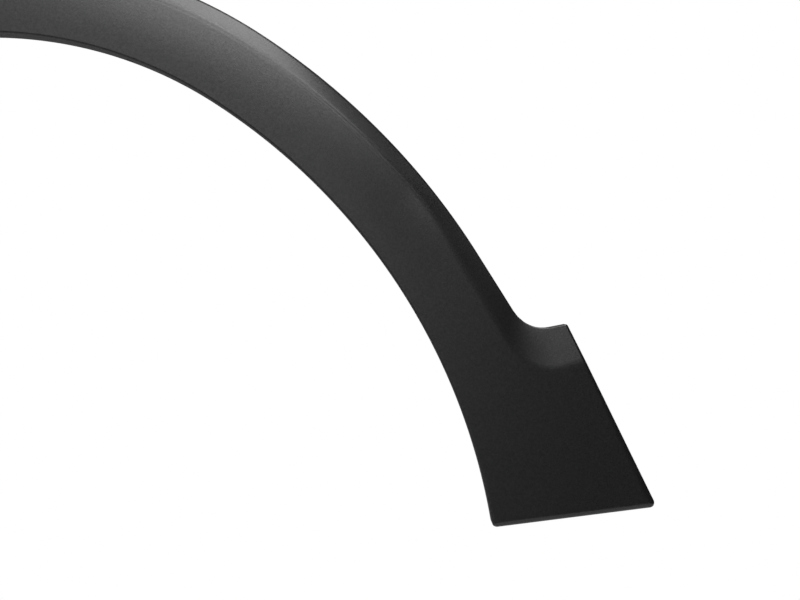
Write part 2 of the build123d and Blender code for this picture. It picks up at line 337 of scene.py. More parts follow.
# %% Circles in the corners, for any inset
CORNER_RADIUS, SHOULDER_RADIUS, LEAST_RADIUS = 4.0, 2.0, 1.2


def touching_circle(center, distance, edge, inset, near):
    """Centre of a corner circle: on a circle round an arc's centre, and on a straight edge moved in.

    It lies to one side of the centre's foot on that line, by root(distance squared - foot's distance squared)."""
    outward, offset = edge
    foot = center + (offset - inset - np.dot(outward, center)) * outward
    half = np.sqrt(distance ** 2 - np.sum((foot - center) ** 2)) * np.array([-outward[1], outward[0]])
    return min((foot + half, foot - half), key=lambda spot: np.linalg.norm(spot - near))


def corner_circles(inset):
    """Centre and radius of each round corner of the outline, moved in by an inset."""
    arch_in, foot_in = rim_insets(inset)
    inner_side, outer_side = SIDE_RADIUS + inset, SIDE_RADIUS + BAND_WIDTH - arch_in
    radius, shoulder = (max(size - inset, LEAST_RADIUS) for size in (CORNER_RADIUS, SHOULDER_RADIUS))
    fillet = FOOT_FILLET + (arch_in + foot_in) / 2
    edge_in = inset + radius
    end_spot = PLAIN_CENTER + outer_side * heading(-PLAIN_END_ANGLE)
    return {
        "end_inner": (touching_circle(PLAIN_CENTER, inner_side + radius, END_EDGE, edge_in, end_spot), radius),
        "end_outer": (touching_circle(PLAIN_CENTER, outer_side - radius, END_EDGE, edge_in, end_spot), radius),
        "heel": (touching_circle(FOOT_CENTER, inner_side + radius, SOLE_EDGE, edge_in, HEEL), radius),
        "toe": (meet(LEAN_EDGE, SOLE_EDGE, edge_in, edge_in), radius),
        "shoulder": (meet(TOP_EDGE, LEAN_EDGE, foot_in + shoulder, inset + shoulder), shoulder),
        "hollow": (meet(LEG_EDGE, TOP_EDGE, arch_in - fillet, foot_in - fillet), fillet),
    }


print({name: center.round(1).tolist() for name, (center, _) in corner_circles(0.0).items()})

# %% Four sides of the outline, for any inset
FIRST_ROW_ANGLE = -72.8  # angle of the first row that is straight
END_ZONE = 7.0  # length beside each end in which the rows bend
# Angles on the inner edge that match the rim's tangent point, the hollow corner's two ends and the shoulder's
FOOT_TURNS = np.array([STRAIGHT_ANGLE, 63.4, 67.2, 68.2, 69.2])


def outline(inset):
    """Inner edge, outer edge, plain end and sole as chains, the lengths of matching places along the two edges,
    and the corners that bulge: centre, radius, and the two outward directions between which each one holds.

    A length on an arc is the angle in radians times the radius."""
    circles = corner_circles(inset)
    inner_crown, inner_side = CROWN_RADIUS + inset, SIDE_RADIUS + inset
    arch_in, _ = rim_insets(inset)
    outer_crown, outer_side = CROWN_RADIUS + BAND_WIDTH - arch_in, SIDE_RADIUS + BAND_WIDTH - arch_in
    end_turn, sole_turn, lean_turn = (turn_of(edge[0]) for edge in (END_EDGE, SOLE_EDGE, LEAN_EDGE))
    inner_first = turn_of(circles["end_inner"][0] - PLAIN_CENTER)
    outer_first = turn_of(circles["end_outer"][0] - PLAIN_CENTER)
    inner_last = turn_of(circles["heel"][0] - FOOT_CENTER)

    end_low, inner_low = halves(corner_arc(*circles["end_inner"], end_turn, inner_first + 180))
    end_high, outer_low = halves(corner_arc(*circles["end_outer"], end_turn, outer_first))
    inner_high, sole_low = halves(corner_arc(*circles["heel"], inner_last + 180, sole_turn))
    outer_high, sole_high = halves(corner_arc(*circles["toe"], lean_turn, sole_turn))
    hollow_arc = corner_arc(*circles["hollow"], STRAIGHT_ANGLE + 180, 180 - FOOT_RISE)
    shoulder_arc = corner_arc(*circles["shoulder"], -FOOT_RISE, lean_turn)
    inner = np.concatenate([
        inner_low,
        arc(PLAIN_CENTER, inner_side, inner_first, -CROWN_ANGLE),
        arc(CROWN_CENTER, inner_crown, -CROWN_ANGLE, CROWN_ANGLE),
        arc(FOOT_CENTER, inner_side, CROWN_ANGLE, inner_last),
        inner_high,
    ])
    rim = [
        outer_low,
        arc(PLAIN_CENTER, outer_side, outer_first, -CROWN_ANGLE),
        arc(CROWN_CENTER, outer_crown, -CROWN_ANGLE, CROWN_ANGLE),
        arc(FOOT_CENTER, outer_side, CROWN_ANGLE, STRAIGHT_ANGLE),
        hollow_arc,
        shoulder_arc,
        outer_high,
    ]
    plain_end, sole = np.concatenate([end_low[::-1], end_high]), np.concatenate([sole_low, sole_high[::-1]])

    inner_joint = length_of(inner_low) + np.radians(-CROWN_ANGLE - inner_first) * inner_side
    inner_top = inner_joint + np.radians(2 * CROWN_ANGLE) * inner_crown
    inner_places = [
        0.0,
        length_of(inner_low) + np.radians(FIRST_ROW_ANGLE - inner_first) * inner_side,
        inner_joint,
        inner_top,
        *(inner_top + np.radians(FOOT_TURNS - CROWN_ANGLE) * inner_side),
        length_of(inner) - END_ZONE,
        length_of(inner),
    ]
    ends = [length_of(np.concatenate(rim[:count])) for count in range(1, len(rim) + 1)]
    _, plain_joint, foot_joint, tangent, hollow_end, shoulder_end, rim_end = ends
    outer_places = [
        0.0,
        length_of(outer_low) + np.radians(FIRST_ROW_ANGLE - outer_first) * outer_side,
        plain_joint,
        foot_joint,
        tangent,
        hollow_end - length_of(hollow_arc),
        hollow_end,
        shoulder_end - length_of(shoulder_arc),
        shoulder_end,
        rim_end - END_ZONE,
        rim_end,
    ]
    corners = [
        (*circles["end_inner"], heading(end_turn), heading(inner_first + 180)),
        (*circles["end_outer"], heading(end_turn), heading(outer_first)),
        (*circles["heel"], heading(sole_turn), heading(inner_last + 180)),
        (*circles["toe"], heading(lean_turn), heading(sole_turn)),
        (*circles["shoulder"], TOP_EDGE[0], heading(lean_turn)),
    ]
    return (inner, np.concatenate(rim), plain_end, sole), (np.array(inner_places), np.array(outer_places)), corners


front_sides, front_places, front_corners = outline(0.0)
print("sides", [round(length_of(side), 1) for side in front_sides])
print("inner places", front_places[0].round(1))
print("outer places", front_places[1].round(1))

# %% [markdown]
# ## Rows of the grid
# A row is a line across the band. Rows are counted by place: 0 is the plain end, 1 the first straight row, 2 and 3
# are the joints of the arcs, 4 is where the rim becomes straight, 5 to 8 go round the hollow corner and the
# shoulder of the foot plate, 9 is the last straight row and 10 is the sole. Rows crowd where the surface turns
# quickly. Three rows are put exactly at each screw hole in the return flange, so that the hole can be cut out of
# whole squares.

# %% Places of the rows
HOLE_RADIUS = 3.25  # screw hole in the return flange
HOLE_LINE = 8.5  # its middle ahead of the body panel
HOLE_WINDOW = 5.4  # half the length of flange that is kept free for it
HOLE_CLEAR = 1.15  # how many times that length the other rows keep away
HOLES = [(*PLAIN_ARC, -66.0), (*PLAIN_ARC, -47.5), (*CROWN_ARC, -20.0), (*CROWN_ARC, 20.0)]
HOLES += [(*FOOT_ARC, 47.5), (*FOOT_ARC, 64.0)]
END_ROWS, END_CROWDING = 13, 1.4
ROW_COUNTS = 100, 106, 62, 22, 22, 8, 12, 70  # rows from place 1 to 2, from 2 to 3, and so on
LAST_PLACE = 10


def row_place(turn):
    """Place number of an angle on the inner edge: the share of the way between two numbered places."""
    known_turns = [FIRST_ROW_ANGLE, -CROWN_ANGLE, CROWN_ANGLE, *FOOT_TURNS[:3]]
    return np.interp(turn, known_turns, np.arange(1, len(known_turns) + 1))


crowding = np.linspace(0, 1, END_ROWS) ** END_CROWDING
spreads = [np.linspace(place, place + 1, count, endpoint=False) for place, count in enumerate(ROW_COUNTS, 1)]
rows = np.concatenate([crowding[:-1], *spreads, LAST_PLACE - crowding[::-1]])
hole_turns = np.array([turn for _, _, turn in HOLES])
hole_spans = np.degrees(HOLE_WINDOW / np.array([radius for _, radius, _ in HOLES]))
hole_rows = row_place(np.stack([hole_turns - hole_spans, hole_turns, hole_turns + hole_spans]))
near_hole = HOLE_CLEAR * (hole_rows[2] - hole_rows[0]) / 2
clear = np.all(np.abs(rows[:, None] - hole_rows[1]) > near_hole, axis=1)
rows = np.sort(np.concatenate([rows[clear], hole_rows.ravel()]))
hole_index = np.searchsorted(rows, hole_rows[1])
print("rows", len(rows), "holes at rows", hole_index)

# %% [markdown]
# ## Distance from the outline
# The edges of a moulding are round. How far an edge is rounded goes by the distance to the outline, so that comes
# first. Every edge has its own radius: the rim is softer along the arch than on the foot plate, and the edges at
# the toe are the softest. A bevel modifier could round them too, but here the radius also changes along an edge.

# %% Distance inside the outline
def edge_distances(points, inset):
    """Distances inside the inner edge, the rim, the leaning edge, the sole and the plain end, each moved in."""
    side, line, _ = band_place(points)
    rim, _, _ = rim_place(points, *rim_insets(inset))
    lean, sole = -past_edge(points, LEAN_EDGE) - inset, -past_edge(points, SOLE_EDGE) - inset
    end = np.where(side < 0, -past_edge(points, END_EDGE), FAR) - inset
    return np.stack([line - inset, rim, lean, sole, end])


def inside_outline(points, inset, corners):
    """Distance inside the outline: the least distance to an edge, or, in a corner, the radius less the distance
    from its centre. A point is in a corner if it is a sum of the two outward directions with positive shares."""
    depth = np.min(edge_distances(points, inset), axis=0)
    for center, radius, first, second in corners:
        away = points - center
        shares = away @ np.linalg.inv(np.array([first, second]))
        outside = (shares[..., 0] > 0) & (shares[..., 1] > 0)
        depth = np.where(outside, radius - np.linalg.norm(away, axis=-1), depth)
    return np.maximum(depth, 0.0)


print("plain leg inside the outline", inside_outline(trial, 0.0, front_corners).round(2))

# %% Radius of the nearest edge
INNER_RADIUS = 2.0  # along the wheel opening
ARCH_RIM_RADIUS, FOOT_RIM_RADIUS = 2.2, 0.9
LEAN_RADIUS, TOE_RADIUS = 2.0, 5.0  # leaning edge, at its shoulder and at the toe
SOLE_RADIUS, END_RADIUS = 4.3, 2.0
NEAR_SOFTNESS, NEAR_POWER = 0.5, 4  # how the nearer of two edges outweighs the other


def edge_rounding(points):
    """Radius of the nearest edge. Where two edges are near it lies between theirs, weighed by nearness.

    The weight is 1 over the fourth power of the distance."""
    _, way, _ = rim_place(points)
    rim_radius = ARCH_RIM_RADIUS + (FOOT_RIM_RADIUS - ARCH_RIM_RADIUS) * eased(1 - way / EASE_LENGTH)
    distances = np.maximum(edge_distances(points, 0.0), 0.0)
    lean_radius = TOE_RADIUS + (LEAN_RADIUS - TOE_RADIUS) * eased(distances[3] / LEAN_LENGTH)
    weight = 1 / (distances + NEAR_SOFTNESS) ** NEAR_POWER
    radii = np.stack(np.broadcast_arrays(INNER_RADIUS, rim_radius, lean_radius, SOLE_RADIUS, END_RADIUS))
    return np.sum(radii * weight, axis=0) / np.sum(weight, axis=0)


print("edge radius across the plain leg", edge_rounding(trial).round(2))

# %% [markdown]
# ## A skin of the wall
# One function gives the front skin and, moved in by the wall thickness, the back skin. The height is the lower of
# face and bevel, with the crease softened over the same width everywhere. Along each row the columns crowd where
# the surface turns: at the edges and at the crease. Equal columns would need several times as many faces for the
# same smooth highlight.

# %% Height of a skin
CREASE_WIDTH = 5.0


def soft_lower(first, second, blend):
    """The lower of two heights, with the corner between them softened over a blend height.

    The lower one, less (blend - difference) squared over four times the blend."""
    overlap = np.maximum(blend - np.abs(first - second), 0.0)
    return np.minimum(first, second) - overlap ** 2 / (4 * blend)


def skin_height(points, inset):
    """Face and bevel moved in by an inset. The crease is as wide everywhere, so its blend goes with the slope."""
    blend = bevel_course(points)[2] * CREASE_WIDTH / 2
    return soft_lower(face_height(points) - inset, bevel_height(points, inset), blend)


print("height across the plain leg", skin_height(trial, 0.0).round(2))

# %% Columns of a skin
COLUMNS, SAMPLES = 80, 361
EDGE_STEP, EDGE_GROWTH = 0.2, 0.1  # step at an edge, and its growth per millimetre
EDGE_ZONE, INNER_GROWTH = 3.2, 0.5  # past this distance the step grows faster
CREASE_STEP, CREASE_GROWTH = 0.8, 0.9
BEVEL_STEP, FACE_STEP = 1.6, 5.0  # longest steps


def column_shares(starts, stops, inset):
    """Shares of the way across each row at which the columns lie.

    One over the wished step, summed along a row, counts the columns that are due, and equal parts of that sum are
    the columns. Each row's sums are lifted by 2 over those of the row before, so one interpolation does all rows."""
    samples = np.linspace(0, 1, SAMPLES)
    lines = starts[:, None] + samples[:, None] * (stops - starts)[:, None]
    flanks = np.maximum(np.min(edge_distances(lines, inset)[:3], axis=0), 0.0)
    edge_step = EDGE_STEP + EDGE_GROWTH * np.minimum(flanks, EDGE_ZONE)
    edge_step = edge_step + INNER_GROWTH * np.maximum(flanks - EDGE_ZONE, 0.0)
    over_bevel = face_height(lines) - inset - bevel_height(lines, inset)
    off_crease = np.abs(over_bevel) / bevel_course(lines)[2] - CREASE_WIDTH / 2
    crease_step = CREASE_STEP + CREASE_GROWTH * np.maximum(off_crease, 0.0)
    longest = np.where(over_bevel > 0, BEVEL_STEP, FACE_STEP)
    crowd = 1.0 / np.minimum(np.minimum(edge_step, crease_step), longest)
    gathered = np.cumsum((crowd[:, 1:] + crowd[:, :-1]) / 2, axis=1)
    gathered = np.concatenate([np.zeros((len(rows), 1)), gathered], axis=1) / gathered[:, -1:]
    ladder = 2.0 * np.arange(len(rows))[:, None]
    wanted = np.linspace(0, 1, COLUMNS) + ladder
    shares = np.interp(wanted, (gathered + ladder).ravel(), np.broadcast_to(samples, gathered.shape).ravel())
    shares[:, -1] = 1.0
    return shares


print("columns", COLUMNS, "longest steps", BEVEL_STEP, FACE_STEP)

# %% Grid of a skin
WALL = 2.8
BACK_RADIUS = 0.8  # edges of the back skin
ROUNDED_SHARE = 0.75  # a rounding takes at most this share of the height


def skin(inset):
    """Grid of one skin: places in elevation, and heights ahead of the panel.

    A row is a straight line from inner to outer edge. Near the two ends it bends to follow the end's own shape, by
    the square of what is left of the end zone. At an edge the height loses (1 - root(1 - x squared)) of the radius,
    with x = 1 less the distance inside over the radius: a quarter circle, or an ellipse where the rim is low."""
    (inner, outer, plain_end, sole), (inner_places, outer_places), corners = outline(inset)
    numbers = np.arange(len(inner_places))
    travelled = np.interp(rows, numbers, inner_places)
    starts, stops = along(inner, travelled), along(outer, np.interp(rows, numbers, outer_places))
    shares = column_shares(starts, stops, inset)
    points = starts[:, None] + shares[..., None] * (stops - starts)[:, None]
    for end, from_end, first, last in (
        (plain_end, travelled, starts[0], stops[0]),
        (sole, inner_places[-1] - travelled, starts[-1], stops[-1]),
    ):
        bend = np.maximum(1 - from_end / END_ZONE, 0.0)[:, None, None] ** 2
        straight = first + shares[..., None] * (last - first)
        points = points + bend * (along(end, shares * length_of(end)) - straight)
    height = np.maximum(skin_height(points, inset), 0.0)
    rounding = BACK_RADIUS if inset else edge_rounding(points)
    short = np.maximum(1 - inside_outline(points, inset, corners) / rounding, 0.0)
    return points, height - np.minimum(rounding, ROUNDED_SHARE * height) * (1 - np.sqrt(1 - short ** 2))


front_place, front_height = skin(0.0)
back_place, back_height = skin(WALL)
print("front", front_place.shape, "height", front_height.min().round(2), front_height.max().round(2))
print("back height", back_height.min().round(2), back_height.max().round(2))

# %% [markdown]
# ## From skins to a closed shell
# The real moulding has one wall thickness all over. Here the front skin, the upright walls, the narrow back edge
# on the body panel and the back skin are sewn into one closed surface, which is safer than a thickness added
# afterwards: the wall is even, no face points the wrong way, and the edges stay where the drawing puts them.

# %% Helpers for meshes
MERGE_DISTANCE = 1e-6
SHARP_ANGLE = 35.0


def in_frame(place, height):
    """Places in elevation and heights ahead of the panel, in millimetres, as points of the frame in metres."""
    return np.stack([place[..., 0], -np.broadcast_to(height, place.shape[:-1]), place[..., 1]], axis=-1) * MM


def grid_squares(first, tall, wide):
    """Squares of a grid of vertices numbered row by row from a first number."""
    number = first + np.arange(tall * wide).reshape(tall, wide)
    return np.stack([number[:-1, :-1], number[1:, :-1], number[1:, 1:], number[:-1, 1:]], axis=-1).reshape(-1, 4)


def rim_loop(tall, wide):
    """Numbers of the vertices round a grid: inner edge, sole, outer edge, plain end."""
    number = np.arange(tall * wide).reshape(tall, wide)
    return np.concatenate([number[:, 0], number[-1, 1:], number[-2::-1, -1], number[0, -2:0:-1]])


def band_squares(upper, lower):
    """Squares between two closed loops of vertices, walking against the first one."""
    return np.stack([np.roll(upper, -1), upper, lower, np.roll(lower, -1)], axis=-1)


def add_piece(name, vertices, faces, material_name):
    """A mesh object at the origin, smooth where its faces meet at less than the sharp angle."""
    mesh = bpy.data.meshes.new(name)
    mesh.from_pydata(vertices.reshape(-1, 3).tolist(), [], faces)
    merge = bmesh.new()
    merge.from_mesh(mesh)
    bmesh.ops.remove_doubles(merge, verts=merge.verts, dist=MERGE_DISTANCE)
    merge.to_mesh(mesh)
    merge.free()
    mesh.shade_smooth()
    mesh.set_sharp_from_angle(angle=np.radians(SHARP_ANGLE))
    piece = bpy.data.objects.new(name, mesh)
    bpy.context.collection.objects.link(piece)
    mesh.materials.append(bpy.data.materials.get(material_name) or bpy.data.materials.new(material_name))
    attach(piece, "root")
    print(name, len(mesh.vertices), "vertices", sum(len(face.vertices) - 2 for face in mesh.polygons), "triangles")
    return piece


# %% Vertices of the shell
FLANGE_TAIL = 4.0  # how far the return flange runs on behind the panel's face
HOLE_POINTS = 32
row_count, column_count = front_height.shape
loop = rim_loop(row_count, column_count)
circle = np.linspace(0, 2 * np.pi, HOLE_POINTS + 1)[:-1]


def hole_ring(center, radius, turn, inset):
    """Circle of a screw hole on the flange: sideways along the arc by the sine, out of the car by the cosine."""
    swing = turn + np.degrees(HOLE_RADIUS * np.sin(circle) / (radius + inset))
    return in_frame(center + (radius + inset) * heading(swing), HOLE_LINE + HOLE_RADIUS * np.cos(circle))


shell_parts = [
    in_frame(front_place, front_height).reshape(-1, 3),
    in_frame(back_place, back_height).reshape(-1, 3),
    in_frame(front_place.reshape(-1, 2)[loop], 0.0),
    in_frame(back_place.reshape(-1, 2)[loop], 0.0),
    in_frame(front_place[:, 0], -FLANGE_TAIL),
    in_frame(back_place[:, 0], -FLANGE_TAIL),
    np.concatenate([hole_ring(*hole, 0.0) for hole in HOLES]),
    np.concatenate([hole_ring(*hole, WALL) for hole in HOLES]),
]
shell_starts = np.concatenate([[0], np.cumsum([len(part) for part in shell_parts])])
FRONT, BACK, FRONT_FOOT, BACK_FOOT, FRONT_TAIL, BACK_TAIL, FRONT_HOLE, BACK_HOLE = shell_starts[:-1]
print("shell vertices", shell_starts[-1])

# %% Squares of the shell
front_ring, back_ring = FRONT_FOOT + np.arange(len(loop)), BACK_FOOT + np.arange(len(loop))
front_wall, back_wall = band_squares(FRONT + loop, front_ring), band_squares(back_ring, BACK + loop)
panel_edge = band_squares(front_ring, back_ring)[row_count - 1:]
tail_rows = np.arange(row_count)
tail_lines = [start + tail_rows for start in (FRONT_FOOT, FRONT_TAIL, BACK_TAIL, BACK_FOOT)]
tail_bands = [
    np.stack([upper[1:], upper[:-1], lower[:-1], lower[1:]], axis=-1)
    for upper, lower in zip(tail_lines[:-1], tail_lines[1:])
]
last = row_count - 1
tail_ends = np.array([
    [FRONT_FOOT, BACK_FOOT, BACK_TAIL, FRONT_TAIL],
    [FRONT_FOOT + last, FRONT_TAIL + last, BACK_TAIL + last, BACK_FOOT + last],
])
whole = np.ones(len(loop), bool)
whole[np.concatenate([hole_index - 1, hole_index])] = False
squares = np.concatenate([
    grid_squares(FRONT, row_count, column_count),
    grid_squares(BACK, row_count, column_count)[:, ::-1],
    front_wall[whole], panel_edge, back_wall[whole], *tail_bands, tail_ends,
])
print("shell squares", squares.shape)

# %% Faces round the screw holes
shell_faces = squares.tolist()
half_turn = HOLE_POINTS // 2
for number, row in enumerate(hole_index):
    ring = number * HOLE_POINTS + np.arange(HOLE_POINTS)
    outside, inside = FRONT_HOLE + ring, BACK_HOLE + ring
    front_top, back_top = FRONT + row * column_count, BACK + row * column_count
    front_low, back_low = FRONT_FOOT + row, BACK_FOOT + row
    left, right = np.append(outside[half_turn:], outside[0]), outside[: half_turn + 1]
    back_left, back_right = np.append(inside[half_turn:], inside[0])[::-1], inside[half_turn::-1]
    shell_faces.append([front_top, front_top - column_count, front_low - 1, front_low, *left])
    shell_faces.append([front_top + column_count, front_top, *right, front_low, front_low + 1])
    shell_faces.append([back_low, back_low - 1, back_top - column_count, back_top, *back_left])
    shell_faces.append([back_low + 1, back_low, *back_right, back_top, back_top + column_count])
    shell_faces += band_squares(outside, inside).tolist()
print("shell faces", len(shell_faces))

# %% [markdown]
# ## Ribs and clip towers
# On the hidden side, thin ribs keep the band from twisting, and square towers hold the clips. They are part of
# the same moulding, so they go into the same mesh and sink a little way into the wall. A rib is a flat plate whose
# upper edge follows the back skin. A tower is a profile carried straight up from its seat to the back skin. Both
# could be joined to the wall by a boolean, but nobody sees the joint, and a boolean would spoil the even grid.

# %% Ribs
RIB_THICKNESS = 1.6
RIB_LINE = 13.0  # lower edge of a rib ahead of the body panel
SINK = 1.0  # how far ribs and towers go into the wall
RIB_POINTS, PROBE_POINTS = 40, 800
EDGE_TOLERANCE = 0.01
RIBS = [(*CROWN_ARC, turn) for turn in (-13.0, 13.0)]
RIBS += [(*PLAIN_ARC, turn) for turn in (-38.0, -51.0, -63.0)]
RIBS += [(*FOOT_ARC, turn) for turn in (38.0, 52.0, 67.5, 79.0)]


def rib_plate(center, radius, turn):
    """Closed plate on a radial line: lower edge level, upper edge on the back skin, as far as there is room."""
    probe = center + (radius + np.linspace(WALL - SINK, TOE_LINE, PROBE_POINTS))[:, None] * heading(turn)
    depth = inside_outline(probe, 0.0, front_corners)
    room = (skin_height(probe, WALL) + SINK > RIB_LINE) & (depth > WALL - SINK - EDGE_TOLERANCE)
    stop = np.argmin(room) if not room.all() else len(room)
    line = probe[np.linspace(0, stop - 1, RIB_POINTS).astype(int)]
    upper = skin_height(line, WALL) + SINK
    sideways = heading(turn + 90.0) * RIB_THICKNESS / 2
    left, right = line - sideways, line + sideways
    section = (left, RIB_LINE), (right, RIB_LINE), (right, upper), (left, upper)
    return np.stack([in_frame(place, height) for place, height in section], axis=1)


rib_points = np.stack([rib_plate(*rib) for rib in RIBS])
print("ribs", rib_points.shape)

# %% Seats of the clips
CLIP_LINE = 33.0  # seats on the band, outside the wheel opening
PLATE_CLIP_INSET, PLATE_CLIP_SHARE = 22.0, 0.46  # seat on the foot plate: inside its leaning edge, and way down it
SEATS = [(center + (radius + CLIP_LINE) * heading(turn), turn) for center, radius, turn in (
    [(*CROWN_ARC, turn) for turn in (-26.0, 0.0, 26.0)]
    + [(*PLAIN_ARC, turn) for turn in (-44.0, -57.0, -69.0)]
    + [(*FOOT_ARC, turn) for turn in (44.0, 60.0, 76.0)]
)]
plate_seat = FOOT_CORNER + PLATE_CLIP_SHARE * (TOE - FOOT_CORNER) - PLATE_CLIP_INSET * LEAN_EDGE[0]
SEATS.append((plate_seat, 90.0 - FOOT_LEAN))


def on_seat(profile, seat, turn):
    """A profile drawn on a seat, with its first axis away from the wheel, as places in elevation."""
    return seat + profile[..., :1] * heading(turn) + profile[..., 1:2] * heading(turn + 90.0)


print("seats", len(SEATS))

# %% Clip towers
HEAD_SIDE, HEAD_THICKNESS = 14.4, 1.6  # square head of a clip
HEAD_ROOM, TOWER_WALL = 0.8, 1.8  # free space round the head, and the wall round that
NECK_RADIUS, SEAT_CLEARANCE = 3.4, 0.3
PLATE_THICKNESS, PLATE_LIP = 2.0, 0.25  # keyhole plate, and how far it stands out from the tower
WASHER_THICKNESS = 1.6
PLATE_LEVEL = WASHER_THICKNESS + SEAT_CLEARANCE
HEAD_LEVEL = PLATE_LEVEL + PLATE_THICKNESS + SEAT_CLEARANCE
pocket = HEAD_SIDE / 2 + HEAD_ROOM
tower = pocket + TOWER_WALL
shaft = tower - PLATE_LIP
slot_half = NECK_RADIUS + SEAT_CLEARANCE
half_circle = circle[: half_turn + 1]
keyhole = slot_half * np.stack([np.cos(half_circle), -np.sin(half_circle)], axis=-1)


def square_corners(half):
    """Corners of a square, from the open side of the tower round its closed sides."""
    return [(-half, half), (-half, -half), (half, -half), (half, half)]


def prism(profile, seat, turn, low, high=None):
    """Profile carried from a low to a high level; no high level means up to the back skin."""
    place = on_seat(profile, seat, turn)
    top = skin_height(place, WALL) + SINK if high is None else high
    return np.stack([in_frame(place, low), in_frame(place, top)])


pocket_corners = [(pocket, shaft), (pocket, -pocket), (-pocket, -pocket), (-pocket, shaft)]
wall_profile = np.array(square_corners(shaft) + pocket_corners)
plate_profile = np.array(square_corners(tower) + [(slot_half, tower), *keyhole, (-slot_half, tower)])
wall_points = np.stack([prism(wall_profile, *seat, PLATE_LEVEL + PLATE_THICKNESS / 2) for seat in SEATS])
plate_points = np.stack([
    prism(plate_profile, *seat, PLATE_LEVEL, PLATE_LEVEL + PLATE_THICKNESS) for seat in SEATS
])
print("towers", wall_points.shape, plate_points.shape)

# %% One moulding
def tube_faces(first, length, around):
    """Squares of a closed tube of points numbered ring by ring, with its two end caps."""
    number = first + np.arange(length * around).reshape(length, around)
    turned = np.roll(number, -1, axis=1)
    sides = np.stack([number[:-1], number[1:], turned[1:], turned[:-1]], axis=-1).reshape(-1, 4)
    return sides.tolist() + [number[0].tolist(), number[-1, ::-1].tolist()]


moulding_parts = list(shell_parts)
moulding_faces = list(shell_faces)
tube_start = shell_starts[-1]
for tubes in (rib_points, wall_points, plate_points):
    for tube in tubes:
        moulding_faces += tube_faces(tube_start, *tube.shape[:2])
        moulding_parts.append(tube.reshape(-1, 3))
        tube_start += len(moulding_parts[-1])
moulding_points = np.concatenate(moulding_parts)
moulding = add_piece("grained_moulding", moulding_points, moulding_faces, "grained_black_plastic")
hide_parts("trim_moulding")

# %% [markdown]
# ## Push-in clips
# Each clip is one small nylon moulding: a square head that slides into the tower's keyhole, a neck, a soft washer
# that seals on the panel, and two crossed blades with barbs that snap through the panel's hole. Head, neck and
# washer are one stack of rings, from a rounded square to circles. The blades are flat profiles given a thickness.
# All ten are in one mesh, because they are the same fastener and never move apart.

# %% Rings of head, neck and washer
HEAD_CORNER = 2.2
WASHER_RADIUS, WASHER_EDGE = 8.6, 0.6  # washer, and its thickness at the edge
HEAD_SOFT, HEAD_SOFT_MIDDLE = 0.5, 0.12  # rounding of the head's upper edge, and what is left of it halfway
UNDER_IN, UNDER_RISE = 0.3, 0.4  # slope under the head's edge
NECK_FILLET, WASHER_ARCH = 0.25, 0.12  # fillet at the neck, and how far the washer arches
WASHER_LIP = [(0.3, WASHER_EDGE + 0.06), (0.0, WASHER_EDGE - 0.2), (0.1, 0.1), (0.4, 0.0)]  # inset and level
RING_POINTS, STEEP = 40, 1e6
ring_turn = np.linspace(0, 2 * np.pi, RING_POINTS + 1)[:-1]


def rounded_square(half, corner):
    """Square with round corners: a circle of the corner radius, pushed out to the four corners' centres."""
    turn = np.stack([np.cos(ring_turn), np.sin(ring_turn)], axis=-1)
    return np.clip(turn * STEEP, -1, 1) * (half - corner) + turn * corner


half_head, head_top = HEAD_SIDE / 2, HEAD_LEVEL + HEAD_THICKNESS
head_rings = [
    (HEAD_SOFT, head_top),
    (HEAD_SOFT_MIDDLE, head_top - HEAD_SOFT_MIDDLE),
    (0.0, head_top - HEAD_SOFT),
    (0.0, HEAD_LEVEL + UNDER_RISE),
    (UNDER_IN, HEAD_LEVEL),
]
round_rings = [
    (NECK_RADIUS + NECK_FILLET, HEAD_LEVEL),
    (NECK_RADIUS, HEAD_LEVEL - NECK_FILLET),
    (NECK_RADIUS, WASHER_THICKNESS + NECK_FILLET),
    (NECK_RADIUS + NECK_FILLET, WASHER_THICKNESS),
    ((NECK_RADIUS + WASHER_RADIUS) / 2, (WASHER_THICKNESS + WASHER_EDGE) / 2 + WASHER_ARCH),
    *[(WASHER_RADIUS - inset, level) for inset, level in WASHER_LIP],
    (NECK_RADIUS, 0.0),
]
ring_places = np.stack(
    [rounded_square(half_head - inset, HEAD_CORNER - inset) for inset, _ in head_rings]
    + [rounded_square(radius, radius) for radius, _ in round_rings]
)
ring_levels = np.array([level for _, level in head_rings + round_rings])[:, None]
print("clip rings", ring_places.shape)

# %% Crossed blades
STEM_RADIUS, BARB_RADIUS, TIP_RADIUS, STEM_LENGTH = 2.9, 4.4, 1.6, 15.0
PANEL_ROOM, BARB_COUNT, BLADE_THICKNESS = 2.6, 3, 1.8
barb_pitch = (STEM_LENGTH - PANEL_ROOM) / (BARB_COUNT + 1)
barb_base = PANEL_ROOM + barb_pitch * np.arange(BARB_COUNT)
barbs = np.stack([
    np.tile([STEM_RADIUS, BARB_RADIUS], BARB_COUNT),
    np.stack([barb_base, barb_base + barb_pitch / 4], axis=1).ravel(),
], axis=-1)
blade_edge = np.concatenate([
    [(STEM_RADIUS, -WASHER_EDGE)], barbs, [(STEM_RADIUS, STEM_LENGTH - barb_pitch), (TIP_RADIUS, STEM_LENGTH)],
])
blade_outline = np.concatenate([blade_edge, blade_edge[::-1] * (-1, 1)])
blade_across = np.broadcast_to(blade_outline[:, 0], (2, len(blade_outline)))
blade_thick = np.broadcast_to(np.array([-0.5, 0.5])[:, None] * BLADE_THICKNESS, blade_across.shape)
blade_level = np.broadcast_to(-blade_outline[:, 1], blade_across.shape)
print("blade outline", blade_outline.shape)

